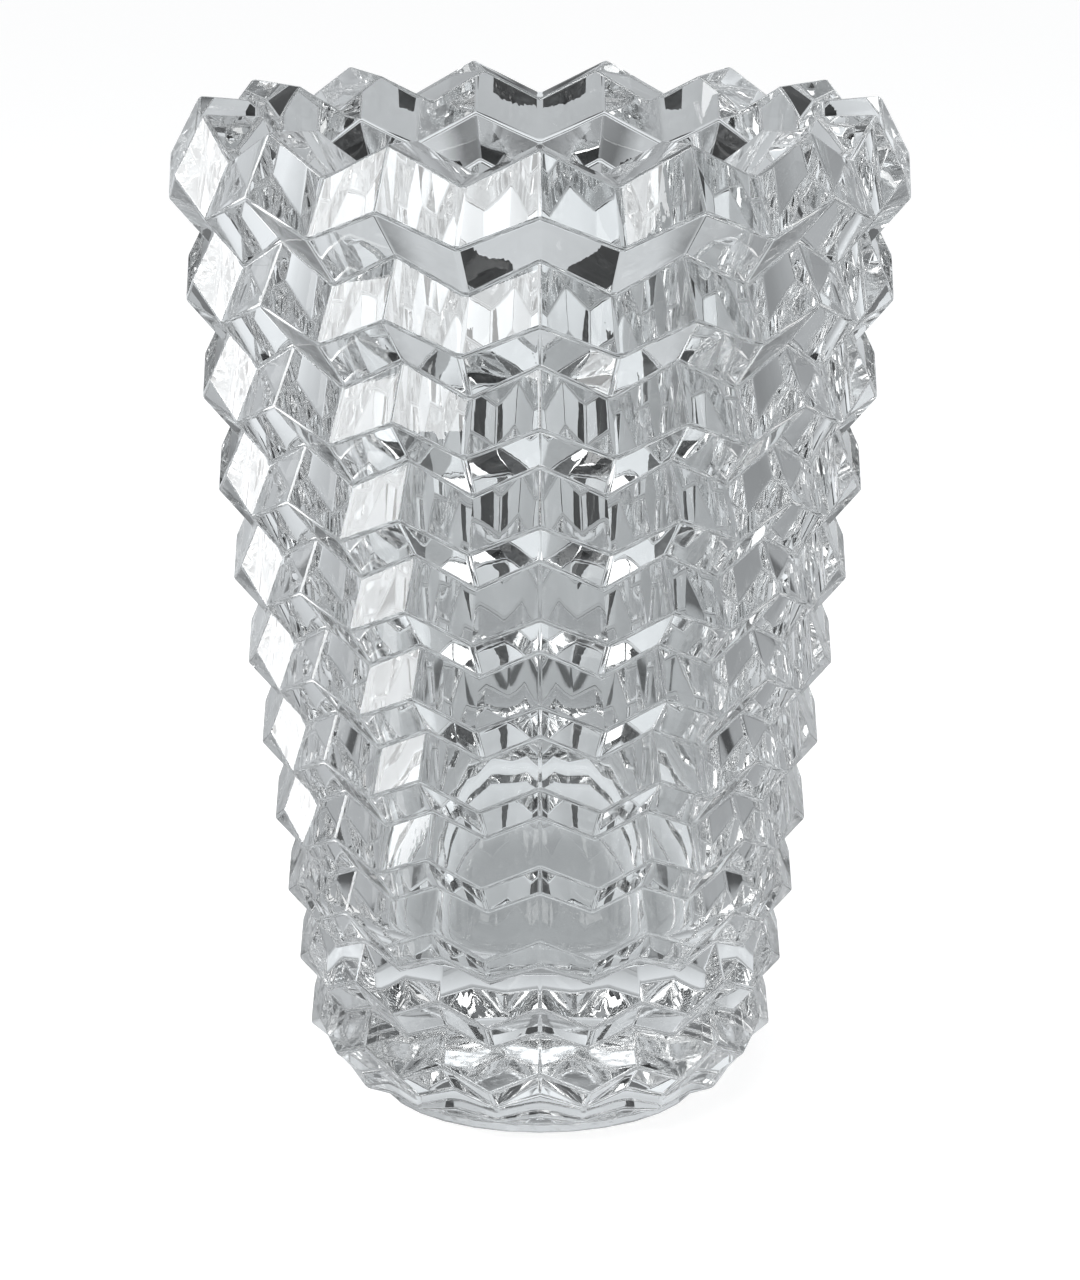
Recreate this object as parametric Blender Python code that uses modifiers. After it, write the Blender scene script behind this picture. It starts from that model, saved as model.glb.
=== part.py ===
"""A heavy cut crystal vase: one solid of clear glass, 250 mm tall.

The outside is cut in tiers. Each tier is a ring of flat faces that lean outward as they go down,
then a short underside that goes back in to the next tier. The tiers' edges run in a zigzag round
the vase, so the flats make a herringbone. The inside is a smooth turned well over a thick bottom.

Metres, +Z up, with the origin at the middle of the foot. Run it with
blender --background --python part.py, or from Blender's text editor.
"""

import math

import bmesh
import bpy

# Overall sizes
VASE_HEIGHT = 0.250  # foot to the tips of the rim
RIM_RADIUS = 0.0833  # axis to the rim's outer tips
WAIST_RADIUS = 0.0513  # the cone of the cut valleys, carried down to the level of the foot

# The cut pattern
COLUMNS = 15  # teeth round the rim, each a high line with a low line on either side
TIERS = 11  # full tiers, above the short one over the foot
LAST_PITCH_SHARE = 0.673  # height of the lowest full tier, as a share of the top one's
FACE_SHARE = 0.572  # how much of a tier's height is its outward face, and not its underside
RELIEF_TOP = 0.0099  # ridge cone outside valley cone, at the rim
RELIEF_BASE = 0.0036  # and at the foot
TOOTH_DROP_TOP = 0.0089  # how far a top edge falls from a high line to a low one, at the rim
TOOTH_DROP_BASE = 0.0038  # and in the tier over the foot
RIDGE_DROP_TOP = 0.0077  # the same for a tier's lower edge
RIDGE_DROP_BASE = 0.0053

# The short tier and the foot
LAST_TIER_HEIGHT = 0.0146  # top edge of the short tier, above the table
LAST_TOP_RADIUS = 0.0517
LAST_RIDGE_HEIGHT = 0.0083  # its lower edge, above the table
LAST_RIDGE_RADIUS = 0.0502
LAST_RIDGE_DROP = 0.0021
FOOT_RADIUS = 0.0404  # the polished flat that it stands on
FOOT_HEIGHT = 0.0026  # upright band round the flat

# The well
RIM_WALL = 0.0146  # thickness of the rim, from outer tips to inner tips
TOOTH_SLOPE = 0.0010  # how far a tooth's ridge falls across the rim, outside to inside
WALL_BASE = 0.0105  # glass between the well and the valley cone, at the bottom
BOTTOM_THICKNESS = 0.0400  # solid glass under the well
WELL_CORNER = 0.0130  # rounding between the wall of the well and its floor

# Fineness of the turned surface
WELL_STEPS = 120
CORNER_POINTS = 7
CUT_CLEARANCE = 0.0040  # how far the cutter of the well stands over the rim

CRYSTAL_COLOUR = (0.92, 0.94, 0.945, 1.0)
CRYSTAL_IOR = 1.545
CRYSTAL_ROUGHNESS = 0.01

SPOKES = 2 * COLUMNS
SPOKE_ANGLE = math.pi / COLUMNS


def along(start, end, share):
    return start + (end - start) * share


def valley_radius(height):
    """The cone that the top edges of all the tiers lie on."""
    return along(WAIST_RADIUS, RIM_RADIUS, height / VASE_HEIGHT)


def ridge_radius(height):
    """The cone that the tiers' lower edges lie on, at the high lines."""
    return valley_radius(height) + along(RELIEF_BASE, RELIEF_TOP, height / VASE_HEIGHT)


def tier_tops():
    """Heights of the tiers' top edges on the high lines, rim first, the short tier's last."""
    shares = [along(1.0, LAST_PITCH_SHARE, k / (TIERS - 1)) for k in range(TIERS)]
    unit = (VASE_HEIGHT - LAST_TIER_HEIGHT) / sum(shares)
    heights = [VASE_HEIGHT]
    for share in shares:
        heights.append(heights[-1] - unit * share)
    return heights


def low_ridge_radius(top_radius, ridge, face_height, top_drop, ridge_drop):
    """Where a flat outward face meets the low line, this far under the ridge on the high line."""
    lean = ridge * face_height / (ridge - top_radius)
    return ridge * (ridge_drop + lean) / (lean + top_drop * ridge / top_radius)


def full_tier(k, top, bottom):
    """A tier's two rings, top edge and ridge: (high radius, high height, low radius, low height)."""
    radius = valley_radius(top)
    top_drop = along(TOOTH_DROP_TOP, TOOTH_DROP_BASE, k / TIERS)
    face_height = FACE_SHARE * (top - bottom)
    ridge_height = top - face_height
    ridge = ridge_radius(ridge_height)
    ridge_drop = along(RIDGE_DROP_TOP, RIDGE_DROP_BASE, k / (TIERS - 1))
    low_ridge = low_ridge_radius(radius, ridge, face_height, top_drop, ridge_drop)
    return [
        (radius, top, radius, top - top_drop),
        (ridge, ridge_height, low_ridge, ridge_height - ridge_drop),
    ]


def level_ring(radius, height, drop=0.0):
    return (radius, height, radius, height - drop)


def outline():
    """The rings of the outside, from the rim down to the foot."""
    tops = tier_tops()
    rings = []
    for k in range(TIERS):
        rings += full_tier(k, tops[k], tops[k + 1])
    return rings + [
        level_ring(LAST_TOP_RADIUS, LAST_TIER_HEIGHT, TOOTH_DROP_BASE),
        level_ring(LAST_RIDGE_RADIUS, LAST_RIDGE_HEIGHT, LAST_RIDGE_DROP),
        level_ring(FOOT_RADIUS, FOOT_HEIGHT),
        level_ring(FOOT_RADIUS, 0.0),
    ]


def place_ring(vertices, ring):
    """Moves a ring's vertices to its radii and heights. High lines are the even spokes, from -Y."""
    high_radius, high_height, low_radius, low_height = ring
    for spoke, vertex in enumerate(vertices):
        low = spoke % 2
        radius = low_radius if low else high_radius
        angle = spoke * SPOKE_ANGLE
        vertex.co.x = radius * math.sin(angle)
        vertex.co.y = -radius * math.cos(angle)
        vertex.co.z = low_height if low else high_height


def close_to_point(mesh, vertices, height):
    """Closes the end of the body with flat faces that run to one point on the axis."""
    tip = mesh.verts.new((0.0, 0.0, height))
    for spoke in range(SPOKES):
        mesh.faces.new((vertices[spoke], vertices[(spoke + 1) % SPOKES], tip))


def crystal():
    """Clear lead crystal, polished all over."""
    material = bpy.data.materials.new("clear_crystal")
    material.use_nodes = True
    shader = material.node_tree.nodes["Principled BSDF"]
    shader.inputs["Base Color"].default_value = CRYSTAL_COLOUR
    shader.inputs["Metallic"].default_value = 0.0
    shader.inputs["Roughness"].default_value = CRYSTAL_ROUGHNESS
    shader.inputs["IOR"].default_value = CRYSTAL_IOR
    shader.inputs["Transmission Weight"].default_value = 1.0
    return material


def collection(name):
    made = bpy.data.collections.new(name)
    bpy.context.scene.collection.children.link(made)
    return made


def vase_block(into):
    """The cut outside, as a solid block: one ring of vertices, extruded from tier to tier."""
    rings = outline()
    shape = bmesh.new()
    bmesh.ops.create_circle(shape, cap_ends=False, segments=SPOKES, radius=RIM_RADIUS)
    shape.verts.ensure_lookup_table()
    current = list(shape.verts)
    place_ring(current, rings[0])
    rim = list(current)
    edges = list(shape.edges)
    for ring in rings[1:]:
        made = bmesh.ops.extrude_edge_only(shape, edges=edges)["geom"]
        edges = [item for item in made if isinstance(item, bmesh.types.BMEdge)]
        new = {item for item in made if isinstance(item, bmesh.types.BMVert)}
        edges = [edge for edge in edges if set(edge.verts) <= new]
        current = [
            next(edge.other_vert(vertex) for edge in vertex.link_edges if edge.other_vert(vertex) in new)
            for vertex in current
        ]
        place_ring(current, ring)
    close_to_point(shape, rim, VASE_HEIGHT - TOOTH_SLOPE * RIM_RADIUS / RIM_WALL)
    close_to_point(shape, current, 0.0)
    bmesh.ops.recalc_face_normals(shape, faces=shape.faces)
    mesh = bpy.data.meshes.new("vase_body")
    shape.to_mesh(mesh)
    shape.free()
    body = bpy.data.objects.new("vase_body", mesh)
    into.objects.link(body)
    return body


def well_profile():
    """Half the section of the well, from over the rim down its wall to the axis: (radius, height)."""
    rim_radius = RIM_RADIUS - RIM_WALL
    floor_radius = valley_radius(BOTTOM_THICKNESS) - WALL_BASE
    slope = math.atan2(rim_radius - floor_radius, VASE_HEIGHT - BOTTOM_THICKNESS)
    over = VASE_HEIGHT + CUT_CLEARANCE
    points = [(rim_radius + CUT_CLEARANCE * math.tan(slope), over)]
    corner = WELL_CORNER
    centre = floor_radius + corner * math.tan(slope) - corner / math.cos(slope)
    for k in range(CORNER_POINTS):
        turn = along(-slope, -math.pi / 2, k / (CORNER_POINTS - 1))
        points.append(
            (centre + corner * math.cos(turn), BOTTOM_THICKNESS + corner + corner * math.sin(turn))
        )
    points.append((0.0, BOTTOM_THICKNESS))
    return points


def well_cutter(into):
    """The well as a turned solid, closed at the top by a disc."""
    points = [(0.0, VASE_HEIGHT + CUT_CLEARANCE)] + well_profile()
    mesh = bpy.data.meshes.new("well_cutter")
    vertices = [(radius, 0.0, height) for radius, height in points]
    mesh.from_pydata(vertices, [(k, k + 1) for k in range(len(points) - 1)], [])
    cutter = bpy.data.objects.new("well_cutter", mesh)
    into.objects.link(cutter)
    turn = cutter.modifiers.new("turn", "SCREW")
    turn.steps = WELL_STEPS
    turn.render_steps = WELL_STEPS
    turn.use_merge_vertices = True
    turn.merge_threshold = 0.00001
    cutter.hide_render = True
    cutter.display_type = "WIRE"
    return cutter


for existing in list(bpy.data.objects):
    bpy.data.objects.remove(existing)

cutters = collection("cutters")
parts = collection("cut_crystal_vase")
vase_body = vase_block(parts)
vase_body.data.materials.append(crystal())
well = vase_body.modifiers.new("well", "BOOLEAN")
well.operation = "DIFFERENCE"
well.solver = "EXACT"
well.object = well_cutter(cutters)
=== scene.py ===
"""A cut crystal vase in a plain white studio.

The vase is one piece of crystal: a thick blank, cut all round in zigzag tiers of flat facets,
turned out inside to a smooth round well, with its edges eased and every surface polished.
"""

import math

import bmesh
import bpy
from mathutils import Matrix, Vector


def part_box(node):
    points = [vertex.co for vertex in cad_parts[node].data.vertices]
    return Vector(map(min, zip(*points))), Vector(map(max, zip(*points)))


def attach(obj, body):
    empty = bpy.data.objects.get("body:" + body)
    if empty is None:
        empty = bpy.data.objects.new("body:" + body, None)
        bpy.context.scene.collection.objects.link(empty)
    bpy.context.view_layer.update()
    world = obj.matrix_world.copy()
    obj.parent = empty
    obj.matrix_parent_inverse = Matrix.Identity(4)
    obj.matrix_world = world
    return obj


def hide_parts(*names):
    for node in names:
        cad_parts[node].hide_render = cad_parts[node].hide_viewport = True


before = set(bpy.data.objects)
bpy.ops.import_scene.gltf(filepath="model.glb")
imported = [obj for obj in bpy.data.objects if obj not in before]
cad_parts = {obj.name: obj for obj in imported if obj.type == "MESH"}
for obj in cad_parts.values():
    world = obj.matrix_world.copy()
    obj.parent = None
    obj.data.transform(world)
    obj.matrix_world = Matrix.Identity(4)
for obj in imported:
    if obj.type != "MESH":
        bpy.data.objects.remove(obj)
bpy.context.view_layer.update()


# The vase
# One piece of clear lead crystal, made as a thick blank and cut on wheels with fifteen high lines
# and fifteen low lines, in tiers of flats that lean outward as they go down. The inside is ground
# to a round well over a solid bottom, and acid polish leaves every surface bright.

# the cut outside: each tier's flats, then the undersides that go back in to the next tier
tooth_count = 15
spokes = 2 * tooth_count
spoke_angle = math.tau / spokes
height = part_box("vase_body")[1].z
rim_radius = 0.0833
waist_radius = 0.0513  # the cone of the tiers' top edges, carried down to the foot
tiers = 11  # above the short one over the foot
last_pitch_share = 0.673  # height of the lowest of them, as a share of the top one's
face_share = 0.572  # how much of a tier's height is its outward face
relief_top = 0.0099  # how far a tier stands out at its lower edge, at the rim
relief_base = 0.0036
tooth_drop_top = 0.0089  # how far a top edge falls from a high line to a low one, at the rim
tooth_drop_base = 0.0038
ridge_drop_top = 0.0077  # the same for a tier's lower edge
ridge_drop_base = 0.0053
last_tier_height = 0.0146
last_top_radius = 0.0517
last_ridge_height = 0.0083
last_ridge_radius = 0.0502
last_ridge_drop = 0.0021
foot_radius = 0.0404
foot_height = 0.0026
rim_wall = 0.0146
tooth_slope = 0.0010  # how far a tooth's roof falls across the rim


def along(start, end, share):
    return start + (end - start) * share


def valley_radius(level):
    """The cone that the top edges of all the tiers lie on."""
    return along(waist_radius, rim_radius, level / height)


def tier_rings():
    """Each ring of corners, rim first: (high radius, high level, low radius, low level)."""
    pitches = [along(1.0, last_pitch_share, k / (tiers - 1)) for k in range(tiers)]
    pitch_unit = (height - last_tier_height) / sum(pitches)
    rings = []
    top = height
    for k, pitch in enumerate(pitches):
        face_height = face_share * pitch * pitch_unit
        radius = valley_radius(top)
        drop = along(tooth_drop_top, tooth_drop_base, k / tiers)
        rings.append((radius, top, radius, top - drop))
        level = top - face_height
        ridge = valley_radius(level) + along(relief_base, relief_top, level / height)
        ridge_drop = along(ridge_drop_top, ridge_drop_base, k / (tiers - 1))
        # the low corner lies where it keeps all four corners of each lozenge in one plane
        lean = ridge * face_height / (ridge - radius)
        low_ridge = ridge * (ridge_drop + lean) / (lean + drop * ridge / radius)
        rings.append((ridge, level, low_ridge, level - ridge_drop))
        top -= pitch * pitch_unit
    last_low_edge = last_ridge_height - last_ridge_drop
    rings.append((last_top_radius, top, last_top_radius, top - tooth_drop_base))
    rings.append((last_ridge_radius, last_ridge_height, last_ridge_radius, last_low_edge))
    rings.append((foot_radius, foot_height, foot_radius, foot_height))
    rings.append((foot_radius, 0.0, foot_radius, 0.0))
    return rings


def select_corners(piece, wanted):
    """In edit mode, selects the corners that pass a test of their number and place, and no others."""
    mesh = bmesh.from_edit_mesh(piece.data)
    bpy.ops.mesh.select_all(action="DESELECT")
    for vertex in mesh.verts:
        vertex.select_set(wanted(vertex.index, vertex.co))
    mesh.select_flush(True)
    bmesh.update_edit_mesh(piece.data)


def turn_about_axis(place):
    return math.atan2(place.x, -place.y)


def on_low_line(place):
    return round(turn_about_axis(place) / spoke_angle) % 2 == 1


bpy.ops.object.select_all(action="DESELECT")
bpy.ops.mesh.primitive_circle_add(vertices=spokes, radius=rim_radius)
crystal = bpy.context.object
crystal.name = "cut_crystal"
bpy.ops.object.mode_set(mode="EDIT")
last = (rim_radius, 0.0, rim_radius, 0.0)
made = spokes
for ring in tier_rings():
    if made > spokes:
        bpy.ops.mesh.extrude_region_move()
    for low in (False, True):
        select_corners(crystal, lambda k, place: k >= made - spokes and on_low_line(place) == low)
        scale = ring[2 * low] / last[2 * low]
        bpy.ops.transform.resize(value=(scale, scale, 1.0), center_override=(0.0, 0.0, 0.0))
        bpy.ops.transform.translate(value=(0.0, 0.0, ring[2 * low + 1] - last[2 * low + 1]))
    select_corners(crystal, lambda k, place: k >= made - spokes)
    last = ring
    made += spokes
bpy.ops.mesh.edge_face_add()

# the rim, closed by roofs that run in to a point on the axis
roof_point = height - tooth_slope * rim_radius / rim_wall
select_corners(crystal, lambda k, place: k < spokes)
bpy.ops.mesh.extrude_region_move()
bpy.ops.mesh.merge(type="CENTER")
bpy.ops.transform.translate(value=(0.0, 0.0, roof_point - height + tooth_drop_top / 2))
bpy.ops.mesh.select_all(action="SELECT")
bpy.ops.mesh.normals_make_consistent(inside=False)
bpy.ops.object.mode_set(mode="OBJECT")


# the well, ground out of the blank by a turned block of its shape. The cuts outside leave its wall
# a little uneven, in step with them.
wall_base = 0.0105
bottom_thickness = 0.0400
well_corner = 0.0130
well_steps = 240
corner_steps = 16
holding_ring = 0.0015  # from the ends of the corner, so that the flats beside it shade as flats
cut_clearance = 0.0040
ripple = 0.00015
ripple_from = 0.02  # the floor of the well, closer to the axis than this, has none


def well_profile():
    """Radius and level down the wall of the well and round its corner."""
    mouth = rim_radius - rim_wall
    floor = valley_radius(bottom_thickness) - wall_base
    slope = math.atan2(mouth - floor, height - bottom_thickness)
    centre = floor + well_corner * math.tan(slope) - well_corner / math.cos(slope)
    corner_level = bottom_thickness + well_corner
    profile = [
        (mouth + cut_clearance * math.tan(slope), height + cut_clearance),
        (
            centre + well_corner * math.cos(slope) + holding_ring * math.sin(slope),
            corner_level - well_corner * math.sin(slope) + holding_ring * math.cos(slope),
        ),
    ]
    for k in range(corner_steps + 1):
        turn = along(-slope, -math.pi / 2, k / corner_steps)
        profile.append((
            centre + well_corner * math.cos(turn),
            corner_level + well_corner * math.sin(turn),
        ))
    profile.append((centre - holding_ring, bottom_thickness))
    return profile


bpy.ops.object.select_all(action="DESELECT")
profile = well_profile()
bpy.ops.mesh.primitive_circle_add(vertices=well_steps, radius=profile[0][0], fill_type="NGON")
well = bpy.context.object
bpy.ops.object.mode_set(mode="EDIT")
bpy.ops.transform.translate(value=(0.0, 0.0, profile[0][1]))
for (last_radius, last_level), (radius, level) in zip(profile, profile[1:]):
    bpy.ops.mesh.extrude_region_move(TRANSFORM_OT_translate={"value": (0.0, 0.0, level - last_level)})
    scale = radius / last_radius
    bpy.ops.transform.resize(value=(scale, scale, 1.0), center_override=(0.0, 0.0, 0.0))
mesh = bmesh.from_edit_mesh(well.data)
for vertex in mesh.verts:
    radius = vertex.co.to_2d().length
    if radius > ripple_from:
        out = 1 + ripple * math.cos(tooth_count * turn_about_axis(vertex.co)) / radius
        vertex.co.x *= out
        vertex.co.y *= out
bmesh.update_edit_mesh(well.data)
bpy.ops.mesh.select_all(action="SELECT")
bpy.ops.mesh.normals_make_consistent(inside=False)
bpy.ops.object.mode_set(mode="OBJECT")

bpy.context.view_layer.objects.active = crystal
grind = crystal.modifiers.new("grind", "BOOLEAN")
grind.operation = "DIFFERENCE"
grind.solver = "EXACT"
grind.object = well
bpy.ops.object.modifier_apply(modifier=grind.name)
bpy.data.objects.remove(well)


# the undersides, which twist from one edge to the next, and the arrises between flats, which acid
# polishing eases, most of all along the low lines
same_corner = 0.0003  # corners closer than this, left where the well meets the teeth, are one
underside_tilt = -0.1  # the upward part of the normal of a face that looks down
underside_cuts = 4
foot_margin = 0.001
smooth_angle = math.radians(8)
arris_angle = math.radians(12)  # the least turn between two flats that makes an arris
arris_width = 0.0010
arris_segments = 3
low_line_arris = 1.0  # shares of the width
high_line_arris = 0.6
tier_arris = 0.8
well_arris = 0.6
mouth_reach = 0.004  # how far from the mouth an edge still belongs to it
foot_reach = 0.002
upright_turn = 0.02  # an edge that turns less than this about the axis, in radians, is upright

bpy.ops.object.select_all(action="DESELECT")
crystal.select_set(True)
bpy.ops.object.mode_set(mode="EDIT")
bpy.ops.mesh.select_all(action="SELECT")
bpy.ops.mesh.remove_doubles(threshold=same_corner)
bpy.ops.mesh.select_mode(type="FACE")
bpy.ops.mesh.select_all(action="DESELECT")
mesh = bmesh.from_edit_mesh(crystal.data)
for face in mesh.faces:
    outside_foot = face.calc_center_median().to_2d().length > foot_radius + foot_margin
    face.select_set(len(face.verts) == 4 and face.normal.z < underside_tilt and outside_foot)
bmesh.update_edit_mesh(crystal.data)
bpy.ops.mesh.subdivide(number_cuts=underside_cuts)
bpy.ops.object.mode_set(mode="OBJECT")
bpy.ops.object.shade_smooth_by_angle(angle=smooth_angle)


def arris_share(edge):
    """How wide an arris is eased, as a share of the full width, by where it runs."""
    ends = [vertex.co for vertex in edge.verts]
    radii = [end.to_2d().length for end in ends]
    at_mouth = all(
        abs(radius - valley_radius(end.z) + rim_wall) < mouth_reach for radius, end in zip(radii, ends)
    )
    if at_mouth or min(radii) < foot_radius - foot_reach:
        return well_arris
    # the shorter way round, because at the back the turn jumps from half a turn left to half right
    turned = math.remainder(turn_about_axis(ends[0]) - turn_about_axis(ends[1]), math.tau)
    if abs(turned) > upright_turn:
        return tier_arris
    return low_line_arris if on_low_line(ends[0]) else high_line_arris


bpy.ops.object.mode_set(mode="EDIT")
mesh = bmesh.from_edit_mesh(crystal.data)
share = mesh.edges.layers.float.new("bevel_weight_edge")
for edge in mesh.edges:
    if edge.calc_face_angle(0.0) >= arris_angle:
        edge[share] = arris_share(edge)
bmesh.update_edit_mesh(crystal.data)
bpy.ops.object.mode_set(mode="OBJECT")
arris = crystal.modifiers.new("arris", "BEVEL")
arris.width = arris_width
arris.segments = arris_segments
arris.limit_method = "WEIGHT"
arris.harden_normals = True
bpy.ops.object.modifier_apply(modifier=arris.name)


# the finish: clear lead crystal, wheel cut and then acid polished until it is as bright as the
# melt. The eye sees the surroundings many times over in the flats, broken up by the long soft waves
# and fine upright streaks that the polish leaves, and the foot is scuffed where it has stood.
crystal_ior = 1.545
wave_size = 0.017
wave_depth = 0.00014
streak_size = 0.0014
streak_depth = 0.0000028  # real streaks are finer still, and are drawn this coarse so that they show
streak_run = 0.12  # the pattern is drawn out along the height by one over this
scuff_size = 0.0030
scuff_height = 0.0004  # no scuffs above this
scuff_roughness = 0.22
scuff_sparse = 0.45  # noise below this leaves clean polish
scuff_full = 0.7


def linear(colour):
    """An sRGB hex colour as linear RGBA."""
    channels = [int(colour[k:k + 2], 16) / 255 for k in (0, 2, 4)]
    return [c / 12.92 if c <= 0.04045 else ((c + 0.055) / 1.055) ** 2.4 for c in channels] + [1.0]


def add_node(tree, kind, settings=(), values=(), links=()):
    """Adds a node, sets it, fills its inputs and links them, and gives it back."""
    node = tree.nodes.new(kind)
    for name, value in settings:
        setattr(node, name, value)
    for name, value in values:
        node.inputs[name].default_value = value
    for name, source in links:
        tree.links.new(source, node.inputs[name])
    return node


material = bpy.data.materials.new("polished_lead_crystal")
material.use_nodes = True
tree = material.node_tree
shader = tree.nodes["Principled BSDF"]
shader.inputs["Base Color"].default_value = linear("fcfdfd")
shader.inputs["Roughness"].default_value = 0.0
shader.inputs["IOR"].default_value = crystal_ior
shader.inputs["Transmission Weight"].default_value = 1.0
place = add_node(tree, "ShaderNodeTexCoord")
drawn = add_node(
    tree, "ShaderNodeMapping",
    values=[("Scale", (1.0, 1.0, streak_run))], links=[("Vector", place.outputs["Object"])],
)
waves = add_node(
    tree, "ShaderNodeTexNoise",
    values=[("Scale", 1 / wave_size), ("Detail", 1.0)], links=[("Vector", drawn.outputs["Vector"])],
)
streaks = add_node(
    tree, "ShaderNodeTexNoise",
    values=[("Scale", 1 / streak_size), ("Detail", 1.0)], links=[("Vector", drawn.outputs["Vector"])],
)
wavy = add_node(
    tree, "ShaderNodeBump",
    values=[("Strength", 1.0), ("Distance", wave_depth)], links=[("Height", waves.outputs[0])],
)
streaky = add_node(
    tree, "ShaderNodeBump",
    values=[("Strength", 1.0), ("Distance", streak_depth)],
    links=[("Height", streaks.outputs[0]), ("Normal", wavy.outputs["Normal"])],
)
tree.links.new(streaky.outputs["Normal"], shader.inputs["Normal"])
level = add_node(tree, "ShaderNodeSeparateXYZ", links=[("Vector", place.outputs["Object"])])
foot = add_node(
    tree, "ShaderNodeMapRange",
    values=[("From Min", 0.0), ("From Max", scuff_height), ("To Min", scuff_roughness), ("To Max", 0.0)],
    links=[("Value", level.outputs["Z"])],
)
scuffs = add_node(
    tree, "ShaderNodeTexNoise",
    values=[("Scale", 1 / scuff_size), ("Detail", 3.0)], links=[("Vector", place.outputs["Object"])],
)
patchy = add_node(
    tree, "ShaderNodeMapRange",
    values=[("From Min", scuff_sparse), ("From Max", scuff_full)], links=[("Value", scuffs.outputs[0])],
)
worn = add_node(
    tree, "ShaderNodeMath",
    settings=[("operation", "MULTIPLY")], links=[(0, foot.outputs[0]), (1, patchy.outputs[0])],
)
tree.links.new(worn.outputs[0], shader.inputs["Roughness"])
crystal.data.materials.append(material)
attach(crystal, "root")
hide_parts("vase_body")


# The white floor and cove
# A sheet of white paper and the bright cove behind it. They are what is seen past the vase, and
# are hidden from the crystal, which sees the grey studio below and so keeps its contrast.
floor_radius = 5.9
floor_drop = 0.0005  # under the foot
floor_glow = 0.85
cove_radius = 6.0
paper_roughness = 0.9


def glowing_surface(name, colour, strength, roughness=paper_roughness):
    """A matt surface that glows a little, evenly, as lit paper does."""
    made = bpy.data.materials.new(name)
    made.use_nodes = True
    shader = made.node_tree.nodes["Principled BSDF"]
    shader.inputs["Base Color"].default_value = linear(colour)
    shader.inputs["Roughness"].default_value = roughness
    shader.inputs["Emission Color"].default_value = linear("ffffff")
    shader.inputs["Emission Strength"].default_value = strength
    return made


def hide_from(piece, *rays):
    """Hides a piece of the studio from some kinds of ray."""
    for kind in rays:
        setattr(piece, f"visible_{kind}", False)


bpy.ops.object.select_all(action="DESELECT")
bpy.ops.mesh.primitive_circle_add(
    vertices=64, radius=floor_radius, fill_type="NGON", location=(0.0, 0.0, -floor_drop)
)
floor = bpy.context.object
floor.name = "studio_floor"
floor.data.materials.append(glowing_surface("white_paper", "a0a0a0", floor_glow))
hide_from(floor, "glossy", "transmission")

bpy.ops.object.select_all(action="DESELECT")
bpy.ops.mesh.primitive_uv_sphere_add(segments=48, ring_count=24, radius=cove_radius)
cove = bpy.context.object
cove.name = "studio_cove"
cove.data.materials.append(glowing_surface("white_cove", "000000", 1.0))
hide_from(cove, "glossy", "transmission", "diffuse", "shadow")


# The grey table, drawn as a sheet that glows with painted light and shade
# What the crystal sees below: a sheet whose glow is painted light in place of a lit table of grey
# card, dim under the foot as a painted shadow, bright close round it, with two dark rings, paler
# further out, and darker towards the front and the right as painted shade.
table_radius = 3.0
table_drop = 0.001
table_reach = 1.5  # the ramp ends this far from the axis
table_front_painted_shade = 0.45
right_share = 0.46
cool_white = (0.965, 1.0, 1.03, 1.0)
# painted light: the table's glow by distance from the axis, dim under the foot as a painted shadow
table_painted_light_stops = [
    (0.0, 0.38), (0.022, 0.38), (0.040, 0.85), (0.046, 0.85), (0.060, 0.44),
    (0.098, 0.46), (0.102, 0.08), (0.110, 0.08), (0.114, 0.46),
    (0.19, 0.46), (0.195, 0.1), (0.21, 0.1), (0.215, 0.46),
    (0.4, 0.6), (0.8, 0.95),
]


def band(tree, values, source):
    """A grey level that follows a list of (place, level) stops."""
    ramp = add_node(tree, "ShaderNodeValToRGB", links=[("Fac", source)])
    stops = ramp.color_ramp.elements
    while len(stops) < len(values):
        stops.new(0.5)
    for stop, (where, level) in zip(stops, values):
        stop.position = where
        stop.color = (level, level, level, 1.0)
    return ramp.outputs["Color"]


bpy.ops.object.select_all(action="DESELECT")
bpy.ops.mesh.primitive_circle_add(
    vertices=64, radius=table_radius, fill_type="NGON", location=(0.0, 0.0, -table_drop)
)
table = bpy.context.object
table.name = "table_of_painted_light"
card = bpy.data.materials.new("glow_of_painted_light_and_shade")
card.use_nodes = True
tree = card.node_tree
tree.nodes.clear()
place = add_node(tree, "ShaderNodeTexCoord")
far = add_node(
    tree, "ShaderNodeVectorMath",
    settings=[("operation", "LENGTH")], links=[("Vector", place.outputs["Object"])],
)
reach = add_node(
    tree, "ShaderNodeMath",
    settings=[("operation", "DIVIDE")], values=[(1, table_reach)], links=[(0, far.outputs["Value"])],
)
falloff = band(tree, table_painted_light_stops, reach.outputs[0])
parts = add_node(tree, "ShaderNodeSeparateXYZ", links=[("Vector", place.outputs["Object"])])
# painted shade: the glow darkens towards the front and the right
front = add_node(
    tree, "ShaderNodeMapRange",
    values=[("From Min", -0.15), ("From Max", 0.0), ("To Min", table_front_painted_shade), ("To Max", 1.0)],
    links=[("Value", parts.outputs["Y"])],
)
right = add_node(
    tree, "ShaderNodeMapRange",
    values=[("From Min", 0.1), ("From Max", 0.6), ("To Min", 1.0), ("To Max", right_share)],
    links=[("Value", parts.outputs["X"])],
)
painted_front_and_right_shade = add_node(
    tree, "ShaderNodeMath",
    settings=[("operation", "MULTIPLY")], links=[(0, front.outputs[0]), (1, right.outputs[0])],
)
lit = add_node(
    tree, "ShaderNodeMath",
    settings=[("operation", "MULTIPLY")], links=[(0, falloff), (1, painted_front_and_right_shade.outputs[0])],
)
glow = add_node(
    tree, "ShaderNodeEmission",
    values=[("Color", cool_white)], links=[("Strength", lit.outputs[0])],
)
add_node(tree, "ShaderNodeOutputMaterial", links=[("Surface", glow.outputs[0])])
table.data.materials.append(card)
hide_from(table, "camera", "diffuse", "shadow")


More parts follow.
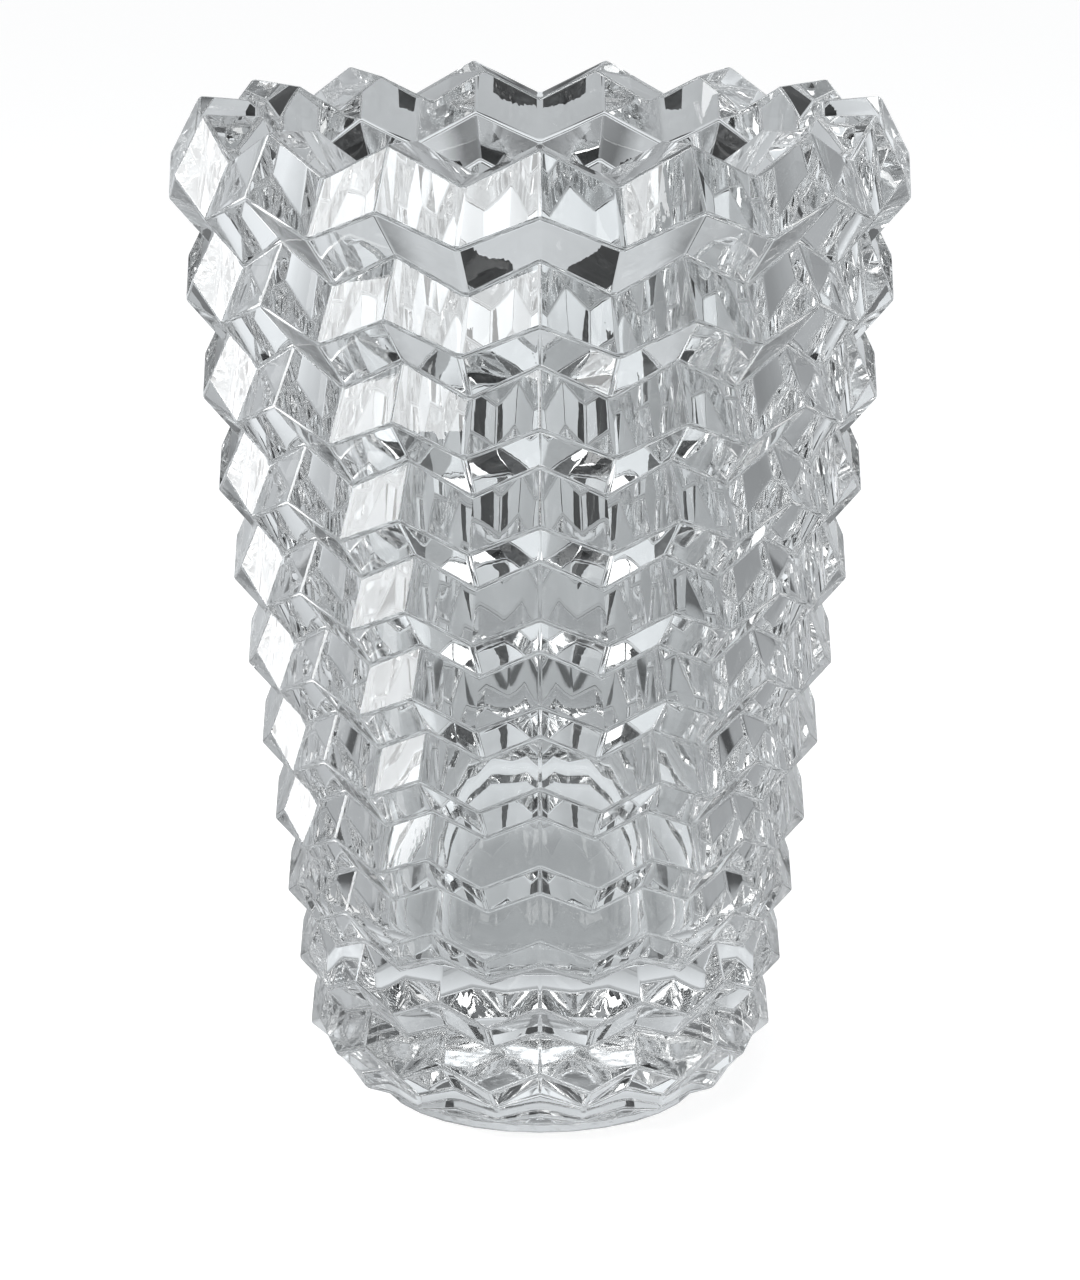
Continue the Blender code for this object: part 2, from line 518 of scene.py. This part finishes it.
# The sky
# What the crystal sees above the table: bright at the horizon, grey over it, bright again high up
# and dark overhead, with a dark line at the horizon and another high up. The front is dim.
back_stops = [
    (0.0, 0.2), (0.5, 0.1), (0.512, 0.1), (0.515, 1.0), (0.545, 0.96),
    (0.59, 0.66), (0.65, 0.66), (0.68, 0.2), (0.74, 0.36), (0.8, 1.3),
    (0.825, 1.3), (0.828, 0.1), (0.838, 0.1), (0.841, 1.3), (0.87, 1.4),
    (0.92, 0.03), (0.95, 0.0),
]
front_stops = [(0.0, 0.16), (0.5, 0.16), (0.6, 0.24), (0.7, 0.14), (0.8, 0.05), (0.95, 0.0)]
front_to_back = [(0.34, 0.0), (0.64, 1.0)]

world = bpy.data.worlds.new("studio")
bpy.context.scene.world = world
world.use_nodes = True
tree = world.node_tree
tree.nodes.clear()
place = add_node(tree, "ShaderNodeTexCoord")
parts = add_node(tree, "ShaderNodeSeparateXYZ", links=[("Vector", place.outputs["Generated"])])
rise, depth = [
    add_node(
        tree, "ShaderNodeMapRange",
        values=[("From Min", -1.0), ("From Max", 1.0)], links=[("Value", parts.outputs[axis])],
    ).outputs[0]
    for axis in ("Z", "Y")
]
back = band(tree, back_stops, rise)
front = band(tree, front_stops, rise)
side = band(tree, front_to_back, depth)
mix = add_node(
    tree, "ShaderNodeMix",
    settings=[("data_type", "RGBA")], links=[("Factor", side), ("A", front), ("B", back)],
)
tinted = add_node(
    tree, "ShaderNodeMix",
    settings=[("data_type", "RGBA"), ("blend_type", "MULTIPLY")],
    values=[("Factor", 1.0), ("B", cool_white)], links=[("A", mix.outputs["Result"])],
)
right = add_node(
    tree, "ShaderNodeMapRange",
    values=[("From Min", 0.15), ("From Max", 0.8), ("To Min", 1.0), ("To Max", right_share)],
    links=[("Value", parts.outputs["X"])],
)
sky = add_node(
    tree, "ShaderNodeBackground",
    links=[("Color", tinted.outputs["Result"]), ("Strength", right.outputs[0])],
)
add_node(tree, "ShaderNodeOutputWorld", links=[("Surface", sky.outputs[0])])


# The softboxes
# Two soft white lights, one at the left and one high in front. The crystal's outer surface
# reflects them, and they light the paper. Name, degrees from the front to the left, rise, distance,
# width, depth and radiance.
softboxes = [
    ("left", 96, 16, 0.9, 0.69, 0.58, 7.2),
    ("top_front", 24, 52, 1.2, 1.1, 0.69, 7.0),
]
aim = Vector((0.0, 0.0, 0.15))


def face_the_vase(thing, turn, rise, distance):
    """Puts a thing in a direction from the vase, in degrees, with its front towards it."""
    turn, rise = math.radians(turn), math.radians(rise)
    out = Vector((-math.sin(turn) * math.cos(rise), -math.cos(turn) * math.cos(rise), math.sin(rise)))
    thing.location = aim + distance * out
    thing.rotation_euler = out.to_track_quat("Z", "Y").to_euler()


for name, turn, rise, distance, width, depth, radiance in softboxes:
    lamp = bpy.data.lights.new(name, "AREA")
    lamp.shape = "RECTANGLE"
    lamp.size = width
    lamp.size_y = depth
    lamp.energy = radiance * math.pi * width * depth
    light = bpy.data.objects.new(name, lamp)
    bpy.context.scene.collection.objects.link(light)
    face_the_vase(light, turn, rise, distance)
    hide_from(light, "camera", "transmission")


# The painted shadow strips, cards and flags
# Black strips on the table behind the vase, painted shadows of the flags there, white cards beside
# and above it, and narrow black flags behind it. Only the crystal's insides see them, as its bright
# and dark facets. Each card is given as the softboxes are.
strip_width, strip_length = 0.065, 0.60
strip_distance = 0.75
strip_rise = 0.001
card_roughness = 0.5
painted_shadow_strips = [("left_painted_shadow", -0.120, 9), ("right_painted_shadow", 0.120, -9)]
cards = [
    ("left_card", 96, 16, 0.92, 0.69, 0.58, 1.6),
    ("top_card", 22, 52, 1.22, 1.1, 0.69, 2.0),
    ("right_card", -100, 10, 1.0, 0.25, 0.6, 0.9),
    ("left_flag", 160, 13, 1.2, 0.12, 0.56, 0.0),
    ("right_flag", -160, 13, 1.2, 0.12, 0.56, 0.0),
    ("left_far_flag", 138, 18, 1.2, 0.10, 0.7, 0.0),
    ("right_far_flag", -138, 18, 1.2, 0.10, 0.7, 0.0),
]


def add_card(name, width, length, surface):
    """A plain card that only the crystal's insides see."""
    bpy.ops.object.select_all(action="DESELECT")
    bpy.ops.mesh.primitive_plane_add(size=1.0)
    card = bpy.context.object
    card.name = name
    card.scale = (width, length, 1.0)
    card.data.materials.append(surface)
    hide_from(card, "camera", "glossy", "diffuse", "shadow")
    return card


# the strips: black sheets laid on the table as painted shadows of the flags
for name, across, turn in painted_shadow_strips:
    strip = add_card(name, strip_width, strip_length, glowing_surface(name, "000000", 0.0))
    strip.location = (across, strip_distance, strip_rise)
    strip.rotation_euler = (0.0, 0.0, math.radians(turn))
for name, turn, rise, distance, width, depth, radiance in cards:
    surface = glowing_surface(name, "000000", radiance, card_roughness)
    face_the_vase(add_card(name, width, depth, surface), turn, rise, distance)


# The camera
# It looks down a little on the vase from the front, through a long lens. Light is followed through
# many facets, because crystal passes it on many times.
camera_distance = 1.0187
camera_height = 0.3810
camera_tilt = 14.6145  # degrees below level
bounces = 32

scene = bpy.context.scene
scene.view_settings.view_transform = "Standard"
scene.cycles.max_bounces = bounces
scene.cycles.glossy_bounces = bounces
scene.cycles.transmission_bounces = bounces
camera_data = bpy.data.cameras.new("camera")
camera_data.lens = 118.82
camera_data.sensor_width = 36.0
camera_data.clip_end = 100.0
camera = bpy.data.objects.new("camera", camera_data)
scene.collection.objects.link(camera)
camera.location = (0.0, -camera_distance, camera_height)
camera.rotation_euler = (math.radians(90 - camera_tilt), 0.0, 0.0)
scene.camera = camera
